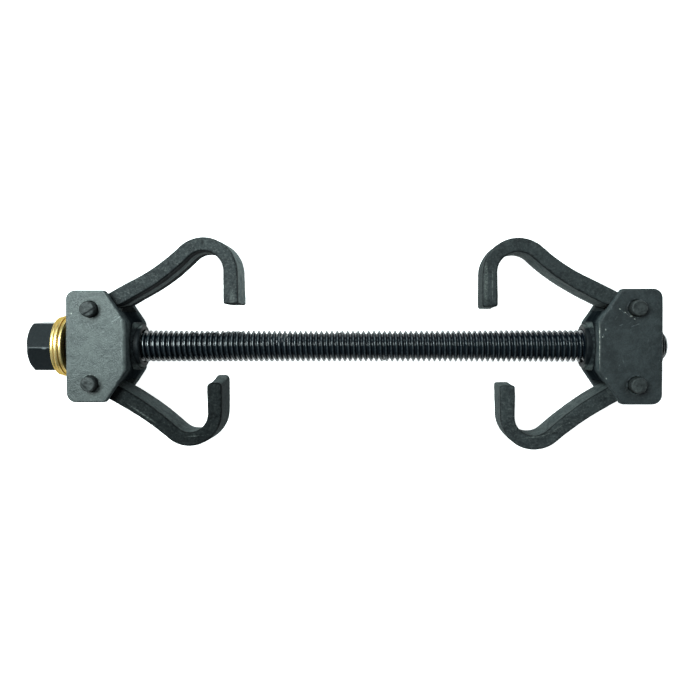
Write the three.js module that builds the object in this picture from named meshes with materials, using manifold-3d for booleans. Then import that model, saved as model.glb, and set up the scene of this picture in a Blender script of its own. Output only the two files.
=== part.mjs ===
// Coil spring compressor: turning the hex head of a threaded spindle draws the far yoke along it
// towards the head yoke. Each yoke carries a long and a short claw hook, and the four hooks grip
// the coils of a spring between them.
// Millimetres. +X runs along the spindle from its hex head to its far end, +Y is the side of the
// long hooks, and +Z is up with the tool lying on the ends of its pins. The origin is the middle of
// the tool's footprint.
import * as THREE from 'three';
import { mergeVertices } from 'three/addons/utils/BufferGeometryUtils.js';
import Module from 'manifold-3d';

const wasm = await Module();
wasm.setup();

// Clearance between pieces that turn, slide or are fitted together
const FIT = 0.3;
const ROUND_SIDES = 48;
const PIN_SIDES = 28;

// Spindle: a 27 mm hex head and a threaded rod, here at its outer diameter
const SPINDLE_LENGTH = 359.2;
const THREAD_RADIUS = 9;
const THREAD_CHAMFER = 2.6;
const HEX_FLATS = 27;
const HEX_HEIGHT = 14.4;
const HEX_CHAMFER = 2.6;
const HEX_TURN = THREE.MathUtils.degToRad(7);

// Thrust washers between the hex head and the head bush
const WASHERS = [['outer', 16.9], ['middle', 17.5], ['inner', 16.9]];
const WASHER_THICKNESS = 1.95;
const WASHER_BEVEL = 0.5;

// Sleeves through the yokes: the bush that the spindle turns in and the nut that it drives
const SLEEVE_RADIUS = 12.5;
const SLEEVE_BEVEL = 1;
const BUSH_START = 21.5;
const BUSH_END = 64;
const NUT_START = 313.4;
const NUT_END = 355.8;

// Yokes: 5 mm steel bent to a U, with two plates and a web on the side of the tool's middle
const YOKE_LENGTH = 34;
const YOKE_WIDTH = 62.5;
const YOKE_HEIGHT = 40;
const YOKE_STEEL = 5;
const YOKE_CORNER = 5.3;
const YOKE_CUT_LENGTH = 12.4;
const YOKE_CUT_WIDTH = 18.3;
const YOKE_CUT_CORNER = 2.2;
const BEND_OUTSIDE = 2.4;
const BEND_INSIDE = 1;
const HEAD_YOKE_START = 25.5;
const FAR_YOKE_START = 317.9;

// Hook pins, peened over outside the plates
const PIN_RADIUS = 4.25;
const PIN_BEVEL = 0.6;
const PIN_STAND_OUT = 5;
const PIN_FROM_EDGE = 13.7;
const PIN_FROM_AXIS = 20.7;

// Forged hooks: a flat bar on edge, from its eye along a straight arm, a bend away from the spindle
// and an arch back to a tip square to the spindle. Angles are from the spindle's direction, and a
// rest turn is how far a hook has swung out on its pin, in degrees.
const HOOK_DEPTH = 25;
const EYE_RADIUS = 7.5;
const BAR_AT_EYE = 9.3;
const BAR_AT_ARCH = 8;
const BAR_AT_TIP = 8.6;
const HOOK_BEVEL = 0.9;
const LONG_HOOK = {
  armAngle: 27.5, armLength: 29.2, bendRadius: 108.8, riseAngle: 42, riseLength: 4,
  archRadius: 15.5, tipLength: 18.5,
};
const SHORT_HOOK = {
  armAngle: 28.5, armLength: 13.9, bendRadius: 170, riseAngle: 40.5, riseLength: 3,
  archRadius: 14.5, tipLength: 17.4,
};

const REST_TURNS = { head_long: 0.8, head_short: -0.5, far_long: -0.5, far_short: 0.5 };

// Spacer washers that centre each hook between its plates
const SPACER_RADIUS = 7.4;
const SPACER_THICKNESS = (YOKE_HEIGHT - HOOK_DEPTH) / 2 - YOKE_STEEL - 2 * FIT;

// Where the spindle's axis and start lie in the part's frame
const AXIS_HEIGHT = YOKE_HEIGHT / 2 + PIN_STAND_OUT;
const AXIS_OFFSET = -1.8;

const blackened = (color, roughness, metalness = 0.55) =>
  new THREE.MeshStandardMaterial({ color, roughness, metalness });
const MATERIALS = {
  spindle: blackened(0x252c30, 0.34, 0.7),
  washer: blackened(0xc9a94e, 0.3, 0.95),
  headYoke: blackened(0x5c6667, 0.5),
  farYoke: blackened(0x2f393b, 0.55),
  sleeve: blackened(0x23292c, 0.55),
  hook: blackened(0x353e40, 0.6),
  pin: blackened(0x4a5253, 0.55),
};

const part = new THREE.Group();

function addPiece(name, geometry, material, parent) {
  const mesh = new THREE.Mesh(geometry, material);
  mesh.name = name;
  parent.add(mesh);
}

// A closed three.js geometry as a solid that can be joined and cut
function solidOf(geometry) {
  const bare = geometry.clone();
  bare.deleteAttribute('normal');
  bare.deleteAttribute('uv');
  const merged = mergeVertices(bare, 1e-4);
  return new wasm.Manifold(new wasm.Mesh({
    numProp: 3,
    vertProperties: new Float32Array(merged.attributes.position.array),
    triVerts: new Uint32Array(merged.index.array),
  }));
}

function geometryOf(solid) {
  const mesh = solid.getMesh();
  const geometry = new THREE.BufferGeometry();
  geometry.setAttribute('position', new THREE.BufferAttribute(new Float32Array(mesh.vertProperties), 3));
  geometry.setIndex(new THREE.BufferAttribute(new Uint32Array(mesh.triVerts), 1));
  geometry.computeVertexNormals();
  return geometry;
}

// A piece turned about +X from [radius, x] points, listed from its start along the outside
function turned(points, sides) {
  const profile = points.map(([radius, x]) => new THREE.Vector2(radius, x));
  return new THREE.LatheGeometry(profile, sides).rotateZ(-Math.PI / 2);
}

function rod(radius, start, end, startBevel, endBevel, sides = ROUND_SIDES) {
  return turned([
    [0, start], [radius - startBevel, start], [radius, start + startBevel],
    [radius, end - endBevel], [radius - endBevel, end], [0, end],
  ], sides);
}

function sleeve(inner, outer, start, end, bevel, sides = ROUND_SIDES) {
  return turned([
    [inner, start], [outer - bevel, start], [outer, start + bevel],
    [outer, end - bevel], [outer - bevel, end], [inner, end], [inner, start],
  ], sides);
}

// An outline in the plane of the hooks, extruded evenly to both sides of the spindle's axis
function slab(shape, depth, bevel = 0) {
  const options = {
    depth: depth - 2 * bevel, curveSegments: 5,
    bevelEnabled: bevel > 0, bevelThickness: bevel, bevelSize: bevel, bevelOffset: -bevel, bevelSegments: 1,
  };
  return new THREE.ExtrudeGeometry(shape, options).translate(0, 0, bevel - depth / 2);
}

function shapeOf(points) {
  return new THREE.Shape(points.map(([x, y]) => new THREE.Vector2(x, y)));
}

// A polygon whose corners, given as [x, y, radius], are rounded
function roundedShape(corners) {
  const shape = new THREE.Shape();
  corners.forEach(([x, y, radius], i) => {
    const corner = new THREE.Vector2(x, y);
    const towards = (other) => new THREE.Vector2(other[0], other[1]).sub(corner);
    const before = towards(corners.at(i - 1));
    const after = towards(corners[(i + 1) % corners.length]);
    const back = radius / Math.tan(before.angleTo(after) / 2);
    const start = before.setLength(back).add(corner);
    const end = after.setLength(back).add(corner);
    if (i) shape.lineTo(start.x, start.y);
    else shape.moveTo(start.x, start.y);
    if (radius) shape.quadraticCurveTo(x, y, end.x, end.y);
  });
  shape.closePath();
  return shape;
}

// Spindle ------------------------------------------------------------------------------------

function spindleGeometry() {
  const hexRadius = HEX_FLATS / Math.sqrt(3);
  // one corner of the hexagon points up before HEX_TURN
  const prism = new THREE.CylinderGeometry(hexRadius, hexRadius, HEX_HEIGHT, 6)
    .rotateZ(-Math.PI / 2).rotateX(HEX_TURN).translate(HEX_HEIGHT / 2, 0, 0);
  const turnedOver = rod(hexRadius + 0.1, 0, HEX_HEIGHT + 1, HEX_CHAMFER, 0.1);
  const shank = rod(THREAD_RADIUS, HEX_HEIGHT - 1, SPINDLE_LENGTH, 0.2, THREAD_CHAMFER);
  return geometryOf(solidOf(prism).intersect(solidOf(turnedOver)).add(solidOf(shank)));
}

addPiece('spindle', spindleGeometry(), MATERIALS.spindle, part);

// Thrust washers -----------------------------------------------------------------------------

WASHERS.forEach(([name, radius], i) => {
  const start = HEX_HEIGHT + FIT + i * (WASHER_THICKNESS + FIT);
  const washer = sleeve(THREAD_RADIUS + FIT, radius, start, start + WASHER_THICKNESS, WASHER_BEVEL);
  addPiece(`thrust_washer_${name}`, washer, MATERIALS.washer, part);
});

// Yokes --------------------------------------------------------------------------------------

// The bent U, seen along Y: x runs from the open edge at 0 to the web at YOKE_LENGTH
function channelShape() {
  const outer = YOKE_HEIGHT / 2;
  const inner = outer - YOKE_STEEL;
  const webInside = YOKE_LENGTH - YOKE_STEEL;
  return roundedShape([
    [0, outer, 0], [0, inner, 0], [webInside, inner, BEND_INSIDE], [webInside, -inner, BEND_INSIDE],
    [0, -inner, 0], [0, -outer, 0], [YOKE_LENGTH, -outer, BEND_OUTSIDE], [YOKE_LENGTH, outer, BEND_OUTSIDE],
  ]);
}

// The flat of both plates, with round corners at the open edge and slanting cuts towards the web
function plateShape() {
  const half = YOKE_WIDTH / 2;
  const cut = [YOKE_LENGTH - YOKE_CUT_LENGTH, half - YOKE_CUT_WIDTH];
  return roundedShape([
    [0, -half, YOKE_CORNER], [cut[0], -half, YOKE_CUT_CORNER], [YOKE_LENGTH, -cut[1], YOKE_CUT_CORNER],
    [YOKE_LENGTH, cut[1], YOKE_CUT_CORNER], [cut[0], half, YOKE_CUT_CORNER], [0, half, YOKE_CORNER],
  ]);
}

function pinHole(side) {
  return solidOf(new THREE.CylinderGeometry(PIN_RADIUS + FIT, PIN_RADIUS + FIT, YOKE_HEIGHT + 2, PIN_SIDES)
    .rotateX(Math.PI / 2).translate(PIN_FROM_EDGE, side * PIN_FROM_AXIS, 0));
}

function yokeGeometry() {
  const channel = slab(channelShape(), YOKE_WIDTH).rotateX(-Math.PI / 2);
  const blank = solidOf(channel).intersect(solidOf(slab(plateShape(), YOKE_HEIGHT + 2)));
  const bore = rod(SLEEVE_RADIUS + FIT, YOKE_LENGTH - YOKE_STEEL - 2, YOKE_LENGTH + 2, 0.1, 0.1);
  return geometryOf(blank.subtract(solidOf(bore)).subtract(pinHole(1)).subtract(pinHole(-1)));
}

// Hooks --------------------------------------------------------------------------------------

// The middle line of a hook's bar from the pin, as [x, y, heading, share of its length]
function hookLine(hook) {
  const rad = THREE.MathUtils.degToRad;
  const bend = rad(hook.riseAngle - hook.armAngle);
  const arch = rad(hook.riseAngle + 90);
  const stretches = [
    [hook.armLength, 0, 1], [hook.bendRadius * bend, bend, 4], [hook.riseLength, 0, 1],
    [hook.archRadius * arch, -arch, 16], [hook.tipLength, 0, 1],
  ];
  const total = stretches.reduce((sum, [length]) => sum + length, 0);
  const line = [[0, 0, rad(hook.armAngle), 0]];
  for (const [length, turn, steps] of stretches) {
    for (let i = 0; i < steps; i++) {
      const [x, y, heading, share] = line.at(-1);
      const step = length / steps;
      const middle = heading + turn / steps / 2;
      line.push([
        x + step * Math.cos(middle), y + step * Math.sin(middle), heading + turn / steps, share + step / total,
      ]);
    }
  }
  return line;
}

// The bar thins from the eye to the arch and thickens again at the tip
function barThickness(share) {
  const { lerp, smoothstep } = THREE.MathUtils;
  return lerp(lerp(BAR_AT_EYE, BAR_AT_ARCH, smoothstep(share, 0.1, 0.6)), BAR_AT_TIP, smoothstep(share, 0.75, 1));
}

function hookGeometry(hook) {
  const line = hookLine(hook);
  const sideOf = (side) => line.map(([x, y, heading, share]) => {
    const out = side * barThickness(share) / 2;
    return [x - out * Math.sin(heading), y + out * Math.cos(heading)];
  });
  const bar = slab(shapeOf([...sideOf(-1), ...sideOf(1).reverse()]), HOOK_DEPTH, HOOK_BEVEL);
  const round = (radius, height) => new THREE.CylinderGeometry(radius, radius, height, PIN_SIDES).rotateX(Math.PI / 2);
  return geometryOf(solidOf(bar)
    .add(solidOf(round(EYE_RADIUS, HOOK_DEPTH)))
    .subtract(solidOf(round(PIN_RADIUS + FIT, HOOK_DEPTH + 2))));
}

// Yokes with what they hold: the outer edge at the yoke's own x = 0, and hooks reaching past its web

function addYoke(name, material, start, facing) {
  const parent = new THREE.Group();
  parent.position.x = start;
  // facing -1 turns the yoke half round about Y, which leaves its long hook on the same side
  parent.rotation.y = facing < 0 ? Math.PI : 0;
  part.add(parent);
  addPiece(`${name}_yoke`, yokeGeometry(), material, parent);
  for (const [kind, side, hook] of [['long', 1, LONG_HOOK], ['short', -1, SHORT_HOOK]]) {
    const place = new THREE.Group();
    place.position.set(PIN_FROM_EDGE, side * PIN_FROM_AXIS, 0);
    parent.add(place);
    const half = YOKE_HEIGHT / 2 + PIN_STAND_OUT;
    const pin = rod(PIN_RADIUS, -half, half, PIN_BEVEL, PIN_BEVEL, PIN_SIDES).rotateY(-Math.PI / 2);
    addPiece(`${name}_${kind}_pin`, pin, MATERIALS.pin, place);
    for (const [where, level] of [['front', facing], ['back', -facing]]) {
      const start = HOOK_DEPTH / 2 + FIT;
      const spacer = sleeve(PIN_RADIUS + FIT, SPACER_RADIUS, start, start + SPACER_THICKNESS, 0.2, PIN_SIDES)
        .rotateY(-level * Math.PI / 2);
      addPiece(`${name}_${kind}_spacer_${where}`, spacer, MATERIALS.pin, place);
    }
    const geometry = hookGeometry(hook).rotateZ(THREE.MathUtils.degToRad(REST_TURNS[`${name}_${kind}`]));
    // the short hook is turned over, so that it reaches away from the spindle on its own side
    if (side < 0) geometry.rotateX(Math.PI);
    addPiece(`${name}_${kind}_hook`, geometry, MATERIALS.hook, place);
  }
}

addYoke('head', MATERIALS.headYoke, HEAD_YOKE_START, 1);
addPiece('head_bush', sleeve(THREAD_RADIUS + FIT, SLEEVE_RADIUS, BUSH_START, BUSH_END, SLEEVE_BEVEL),
  MATERIALS.sleeve, part);

addYoke('far', MATERIALS.farYoke, FAR_YOKE_START + YOKE_LENGTH, -1);
addPiece('drive_nut', sleeve(THREAD_RADIUS + FIT, SLEEVE_RADIUS, NUT_START, NUT_END, SLEEVE_BEVEL),
  MATERIALS.sleeve, part);

part.position.set(-SPINDLE_LENGTH / 2, AXIS_OFFSET, AXIS_HEIGHT);
part.updateMatrixWorld(true);

export default part;
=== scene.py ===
"""Coil spring compressor: the looks of each piece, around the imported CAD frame.

Shapes are worked out in millimetres from the hex end of the spindle, with y and z from its axis,
and moved into the frame as each mesh is made.
"""
import math

import bpy
import numpy as np
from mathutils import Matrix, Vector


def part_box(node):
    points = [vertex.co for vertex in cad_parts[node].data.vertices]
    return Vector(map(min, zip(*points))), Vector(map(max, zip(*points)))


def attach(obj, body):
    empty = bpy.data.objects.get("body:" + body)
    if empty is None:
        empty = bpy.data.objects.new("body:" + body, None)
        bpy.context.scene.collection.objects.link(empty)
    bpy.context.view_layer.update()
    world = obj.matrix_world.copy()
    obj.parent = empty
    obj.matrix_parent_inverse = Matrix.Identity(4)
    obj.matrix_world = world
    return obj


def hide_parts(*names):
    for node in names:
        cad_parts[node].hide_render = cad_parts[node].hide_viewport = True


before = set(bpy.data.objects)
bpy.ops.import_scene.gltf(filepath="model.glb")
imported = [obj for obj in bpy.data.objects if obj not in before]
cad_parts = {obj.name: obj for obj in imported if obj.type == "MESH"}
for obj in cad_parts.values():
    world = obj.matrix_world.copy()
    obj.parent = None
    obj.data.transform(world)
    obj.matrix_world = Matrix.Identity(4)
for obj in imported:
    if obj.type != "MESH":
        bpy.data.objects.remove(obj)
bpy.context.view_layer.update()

MM = 0.001
HOOKS = [("head", "long"), ("head", "short"), ("far", "long"), ("far", "short")]
FACING = {"head": 1, "far": -1}
SIDE = {"long": 1, "short": -1}


# Places that the frame gives ----------------------------------------------------------------

spindle_low, spindle_high = (np.array(corner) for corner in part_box("spindle"))
ORIGIN = np.array([spindle_low[0], *((spindle_low + spindle_high) / 2)[1:]])


def box_mm(node):
    """A CAD node's lowest and highest corners, from the hex end and the spindle's axis."""
    low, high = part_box(node)
    return (np.array(low) - ORIGIN) / MM, (np.array(high) - ORIGIN) / MM


def middle(node):
    low, high = box_mm(node)
    return (low + high) / 2


def upright(node):
    """An upright round CAD node's middle, its radius and half its height."""
    low, high = box_mm(node)
    return (low + high) / 2, (high[0] - low[0]) / 2, (high[2] - low[2]) / 2


# Noise, soft shapes and meshes ----------------------------------------------------------------

def lattice(ix, iy, iz, seed):
    """A fixed value from -1 to 1 for each whole-numbered point."""
    h = (ix * 374761393 + iy * 668265263 + iz * 1442695041 + seed * 1013904223) & 0xFFFFFFFF
    h = ((h ^ (h >> 13)) * 1274126177) & 0xFFFFFFFF
    h = ((h ^ (h >> 15)) * 2246822519) & 0xFFFFFFFF
    return ((h ^ (h >> 16)) & 0xFFFF) / 32767.5 - 1


def noise(points, size, seed=0):
    """Smooth noise from -1 to 1 with features of about the given size."""
    scaled = np.asarray(points, float) / size + 1000.0
    cell = np.floor(scaled).astype(np.int64)
    part = scaled - cell
    part = part * part * (3 - 2 * part)
    total = 0
    for dx in (0, 1):
        for dy in (0, 1):
            for dz in (0, 1):
                weight = (
                    np.abs(1 - dx - part[..., 0]) * np.abs(1 - dy - part[..., 1])
                    * np.abs(1 - dz - part[..., 2])
                )
                total = total + weight * lattice(
                    cell[..., 0] + dx, cell[..., 1] + dy, cell[..., 2] + dz, seed
                )
    return total


def both(a, b, radius):
    """Where two solids meet, with the edge between them rounded to a radius."""
    return (
        np.minimum(np.maximum(a + radius, b + radius), 0)
        + np.hypot(np.maximum(a + radius, 0), np.maximum(b + radius, 0)) - radius
    )


def joined(a, b, radius):
    """Two solids run together, with the corner between them filled to a radius."""
    return -both(-a, -b, radius)


def smoothstep(value, low, high):
    t = np.clip((value - low) / (high - low), 0, 1)
    return t * t * (3 - 2 * t)


def outline_distance(px, py, corners):
    """Distance to a closed outline, negative inside it."""
    best = np.inf
    inside = np.zeros(np.broadcast(px, py).shape, bool)
    for (ax, ay), (bx, by) in zip(corners, np.roll(corners, -1, axis=0)):
        ex, ey = bx - ax, by - ay
        wx, wy = px - ax, py - ay
        t = np.clip((wx * ex + wy * ey) / (ex * ex + ey * ey), 0, 1)
        best = np.minimum(best, np.hypot(wx - t * ex, wy - t * ey))
        crosses = (ay > py) != (by > py)
        with np.errstate(divide="ignore", invalid="ignore"):
            at = ax + (py - ay) * ex / ey if ey else np.full_like(px + py, np.inf)
        inside ^= crosses & (px < at)
    return np.where(inside, -best, best)


def rounded_outline(corners, steps=8):
    """Points round a polygon whose corners, given as [x, y, radius], are arcs."""
    points = []
    for i, (x, y, radius) in enumerate(corners):
        corner = np.array([x, y], float)
        if not radius:
            points.append(corner)
            continue
        before = np.array(corners[i - 1][:2]) - corner
        after = np.array(corners[(i + 1) % len(corners)][:2]) - corner
        before /= np.linalg.norm(before)
        after /= np.linalg.norm(after)
        half = math.acos(np.clip(before @ after, -1, 1)) / 2
        back = radius / math.tan(half)
        inward = (before + after) / np.linalg.norm(before + after)
        centre = corner + inward * radius / math.sin(half)
        start, end = corner + before * back - centre, corner + after * back - centre
        turn = math.atan2(start[0] * end[1] - start[1] * end[0], start @ end)
        for step in range(steps + 1):
            c, s = math.cos(turn * step / steps), math.sin(turn * step / steps)
            points.append(centre + [c * start[0] - s * start[1], s * start[0] + c * start[1]])
    return np.array(points)


def slope(distance, points, reach=0.04):
    """Outward direction of the surface near each point."""
    out = np.empty_like(points)
    for axis in range(3):
        step = np.zeros(3)
        step[axis] = reach
        out[:, axis] = distance(*(points + step).T) - distance(*(points - step).T)
    return out / np.maximum(np.linalg.norm(out, axis=1), 1e-9)[:, None]


def surface(distance, low, high, step):
    """A net of quads over the surface where distance(x, y, z) is zero, settled onto it.

    The lattice starts an odd share of a step away, so that flat faces don't fall on its points.
    """
    axes = [np.arange(a - 2.37 * step, b + 2.4 * step, step) for a, b in zip(low, high)]
    field = distance(*np.meshgrid(*axes, indexing="ij", sparse=True))
    field = np.broadcast_to(field, [len(axis) for axis in axes])
    cells = np.array(field.shape) - 1
    total = np.zeros((*cells, 3))
    count = np.zeros(cells)
    loops = []
    for axis in range(3):
        u, v = (axis + 1) % 3, (axis + 2) % 3
        near = np.take(field, range(cells[axis]), axis)
        far = np.take(field, range(1, cells[axis] + 1), axis)
        at = np.argwhere((near < 0) != (far < 0))
        a, b = near[tuple(at.T)], far[tuple(at.T)]
        point = at.astype(float)
        point[:, axis] += a / (a - b)
        ring = []
        for du, dv in ((0, 0), (-1, 0), (-1, -1), (0, -1)):
            cell = at.copy()
            cell[:, u] += du
            cell[:, v] += dv
            np.add.at(total, tuple(cell.T), point)
            np.add.at(count, tuple(cell.T), 1)
            ring.append(cell)
        ring = np.stack(ring, axis=1)
        ring[a >= 0] = ring[a >= 0][:, ::-1]
        loops.append(ring)
    loops = np.concatenate(loops)
    used = count > 0
    number = np.cumsum(used).reshape(used.shape) - 1
    start = np.array([axis[0] for axis in axes])
    points = start + step * total[used] / count[used][:, None]
    for _ in range(4):
        points -= slope(distance, points) * np.clip(distance(*points.T), -step, step)[:, None]
    return points, number[tuple(np.moveaxis(loops, -1, 0))]


def sharpness(distance, points, out, depth=1.4):
    """How far each point is on an outer edge: 0 on a flat, up towards 1 on a corner."""
    inner = distance(*(points - depth * out).T)
    return np.clip((inner + depth) / depth, -1, 1)


def make_piece(name, points, faces, material, body, wear, slot, node=None, side=None):
    """A smooth mesh that rides on a body, takes the finish it is given, and may stand for a CAD
    node.

    Where a side material is given, the faces that look sideways, not up or down, take it.
    """
    mesh = bpy.data.meshes.new(name)
    mesh.from_pydata((points * MM + ORIGIN).tolist(), [], [list(face) for face in faces])
    mesh.polygons.foreach_set("use_smooth", np.ones(len(mesh.polygons), bool))
    attribute = mesh.attributes.new("wear", "FLOAT", "POINT")
    attribute.data.foreach_set("value", np.asarray(wear, np.float32))
    mesh.materials.append(material)
    mesh.validate()
    if side:
        mesh.materials.append(side)
        normals = np.empty(3 * len(mesh.polygons))
        mesh.polygons.foreach_get("normal", normals)
        sideways = (np.abs(normals.reshape(-1, 3)[:, 2]) < 0.45).astype(np.int32)
        mesh.polygons.foreach_set("material_index", sideways)
    piece = bpy.data.objects.new(name, mesh)
    bpy.context.collection.objects.link(piece)
    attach(piece, body)
    if node:
        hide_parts(node)


def make_solid(name, distance, low, high, step, material, body, relief=None, **what):
    """A piece from a distance function, with relief(points, outward) pushed out of its surface."""
    points, faces = surface(distance, low, high, step)
    out = slope(distance, points)
    wear = sharpness(distance, points, out)
    if relief:
        points = points + out * relief(points, out)[:, None]
    make_piece(name, points, faces, material, body, wear, **what)


def revolved(stations, radii):
    """Points and faces of a shape turned about the spindle's axis, open at both ends.

    stations is x for each row, and radii a radius for each row and angle.
    """
    rows, sides = radii.shape
    angles = np.arange(sides) * 2 * math.pi / sides
    grid = np.empty((rows, sides, 3))
    grid[..., 0] = np.asarray(stations)[:, None]
    grid[..., 1] = radii * np.cos(angles)
    grid[..., 2] = radii * np.sin(angles)
    i, j = np.meshgrid(np.arange(rows - 1), np.arange(sides), indexing="ij")
    k = (j + 1) % sides
    faces = np.stack(
        [i * sides + j, i * sides + k, (i + 1) * sides + k, (i + 1) * sides + j], -1
    ).reshape(-1, 4).tolist()
    return grid.reshape(-1, 3), faces


def capped(points, faces, rows, sides, start, end):
    """Closes the first and last rows of a turned shape with a point on the axis."""
    first, last = len(points), len(points) + 1
    points = np.vstack([points, [start, 0, 0], [end, 0, 0]])
    base = (rows - 1) * sides
    for j in range(sides):
        k = (j + 1) % sides
        faces.append([first, k, j])
        faces.append([last, base + j, base + k])
    return points, faces


def rounded_ring(inner, outer, start, end, radius, steps=6):
    """The section of a ring as [x, radius] rows, its four corners rounded."""
    corners = [
        [start, inner, radius * 0.6], [start, outer, radius], [end, outer, radius],
        [end, inner, radius * 0.6],
    ]
    return rounded_outline(corners, steps)


def make_ring(name, inner, outer, start, end, radius, material, body, sides=128, rough=0.0, **what):
    """A turned ring about the spindle, its flats divided so that roughness has points to move."""
    section = rounded_ring(inner, outer, start, end, radius)
    dense = []
    for a, b in zip(section, np.roll(section, -1, axis=0)):
        parts = max(1, int(np.linalg.norm(b - a) / 0.7))
        dense.extend(a + (b - a) * part / parts for part in range(parts))
    dense = np.array(dense)
    closed = np.vstack([dense, dense[:1]])
    radii = np.repeat(closed[:, 1:], sides, axis=1)
    points, faces = revolved(closed[:, 0], radii)
    rows = len(dense)
    points = points[:rows * sides]
    faces = [[index % (rows * sides) for index in face] for face in faces]
    if rough:
        outward = points * [0, 1, 1]
        outward /= np.linalg.norm(outward, axis=1)[:, None]
        bumps = noise(points, 2.2, 5) + 0.5 * noise(points, 0.9, 6)
        at_rim = np.hypot(points[:, 1], points[:, 2]) > outer - radius
        points = points + outward * (rough * bumps * at_rim)[:, None]
    edge = np.hypot(points[:, 1], points[:, 2]) > outer - 1.2 * radius
    ends = np.minimum(points[:, 0] - start, end - points[:, 0]) < 1.2 * radius
    make_piece(name, points, faces, material, body, edge & ends, **what)


# Materials ----------------------------------------------------------------------------------

class Finish:
    """A Principled material, its nodes driven by the piece's own coordinates in metres."""

    def __init__(self, name, color, metallic, roughness, specular=0.35):
        self.material = bpy.data.materials.new(name)
        self.material.use_nodes = True
        self.nodes = self.material.node_tree.nodes
        self.links = self.material.node_tree.links
        self.shader = self.nodes["Principled BSDF"]
        self.shader.inputs["Base Color"].default_value = (*color, 1)
        self.shader.inputs["Metallic"].default_value = metallic
        self.shader.inputs["Roughness"].default_value = roughness
        self.shader.inputs["Specular IOR Level"].default_value = specular
        self.material.diffuse_color = (*color, 1)
        self.place = self.nodes.new("ShaderNodeTexCoord").outputs["Object"]

    def set(self, socket, value):
        if isinstance(value, (int, float)):
            socket.default_value = value
        elif isinstance(value, tuple):
            socket.default_value = (*value, 1) if len(value) == 3 else value
        else:
            self.links.new(value, socket)

    def math(self, operation, a, b=0.0):
        node = self.nodes.new("ShaderNodeMath")
        node.operation = operation
        self.set(node.inputs[0], a)
        self.set(node.inputs[1], b)
        return node.outputs[0]

    def noise(self, size_mm, detail=4.0, roughness=0.6, distortion=0.0, stretch=None, turn=0.0):
        node = self.nodes.new("ShaderNodeTexNoise")
        node.inputs["Scale"].default_value = 1 / (size_mm * MM)
        node.inputs["Detail"].default_value = detail
        node.inputs["Roughness"].default_value = roughness
        node.inputs["Distortion"].default_value = distortion
        self.links.new(self.mapped(stretch, turn) if stretch else self.place, node.inputs["Vector"])
        return node.outputs[0]

    def mapped(self, stretch, turn=0.0, at=(0, 0, 0)):
        """The piece's coordinates, turned about z by degrees and then scaled."""
        move = self.nodes.new("ShaderNodeMapping")
        move.vector_type = "TEXTURE"
        move.inputs["Location"].default_value = at
        move.inputs["Rotation"].default_value = (0, 0, math.radians(turn))
        move.inputs["Scale"].default_value = stretch
        self.links.new(self.place, move.inputs["Vector"])
        return move.outputs[0]

    def spots(self, size_mm, reach):
        """Small round pits or specks, 1 at each one's middle."""
        node = self.nodes.new("ShaderNodeTexVoronoi")
        node.inputs["Scale"].default_value = 1 / (size_mm * MM)
        self.links.new(self.place, node.inputs["Vector"])
        return self.ramp(node.outputs["Distance"], reach, 0.0, 0.0, 1.0)

    def ramp(self, value, low, high, to_low=0.0, to_high=1.0):
        node = self.nodes.new("ShaderNodeMapRange")
        node.interpolation_type = "SMOOTHSTEP"
        self.set(node.inputs["Value"], value)
        node.inputs["From Min"].default_value = low
        node.inputs["From Max"].default_value = high
        node.inputs["To Min"].default_value = to_low
        node.inputs["To Max"].default_value = to_high
        return node.outputs[0]

    def mix(self, factor, a, b):
        node = self.nodes.new("ShaderNodeMix")
        node.data_type = "RGBA"
        self.set(node.inputs[0], factor)
        self.set(node.inputs[6], a)
        self.set(node.inputs[7], b)
        return node.outputs[2]

    def wear(self):
        node = self.nodes.new("ShaderNodeAttribute")
        node.attribute_name = "wear"
        return node.outputs["Fac"]

    def one_axis(self, vector, axis):
        split = self.nodes.new("ShaderNodeSeparateXYZ")
        self.links.new(vector, split.inputs[0])
        return split.outputs[axis]

    def facing(self, axis):
        """How far the surface faces along one of the piece's axes, from -1 to 1."""
        return self.one_axis(self.place.node.outputs["Normal"], axis)

    def along(self, axis):
        """Where the surface is along one of the piece's axes, in metres."""
        return self.one_axis(self.place, axis)

    def marks(self, places, depth=2.0):
        """Short straight marks, 1 along the middle of each one.

        They are given as (x, y, z, degrees, length, width), in millimetres from the hex end and
        the spindle's axis.
        """
        total = None
        for x, y, z, degrees, length, width in places:
            at = tuple(float(c) for c in ORIGIN + np.array([x, y, z]) * MM)
            scale = (length * MM / 2, width * MM / 2, depth * MM)
            measure = self.nodes.new("ShaderNodeVectorMath")
            measure.operation = "LENGTH"
            self.links.new(self.mapped(scale, degrees, at), measure.inputs[0])
            one = self.ramp(measure.outputs["Value"], 1.0, 0.35)
            total = one if total is None else self.math("MAXIMUM", total, one)
        return total

    def bump(self, height, distance_mm, strength=1.0, under=None):
        node = self.nodes.new("ShaderNodeBump")
        node.inputs["Strength"].default_value = strength
        node.inputs["Distance"].default_value = distance_mm * MM
        self.set(node.inputs["Height"], height)
        if under:
            self.links.new(under, node.inputs["Normal"])
        return node.outputs[0]

    def finish(self, color, roughness, normal):
        for name, value in (("Base Color", color), ("Roughness", roughness), ("Normal", normal)):
            self.links.new(value, self.shader.inputs[name])
        return self.material


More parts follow.
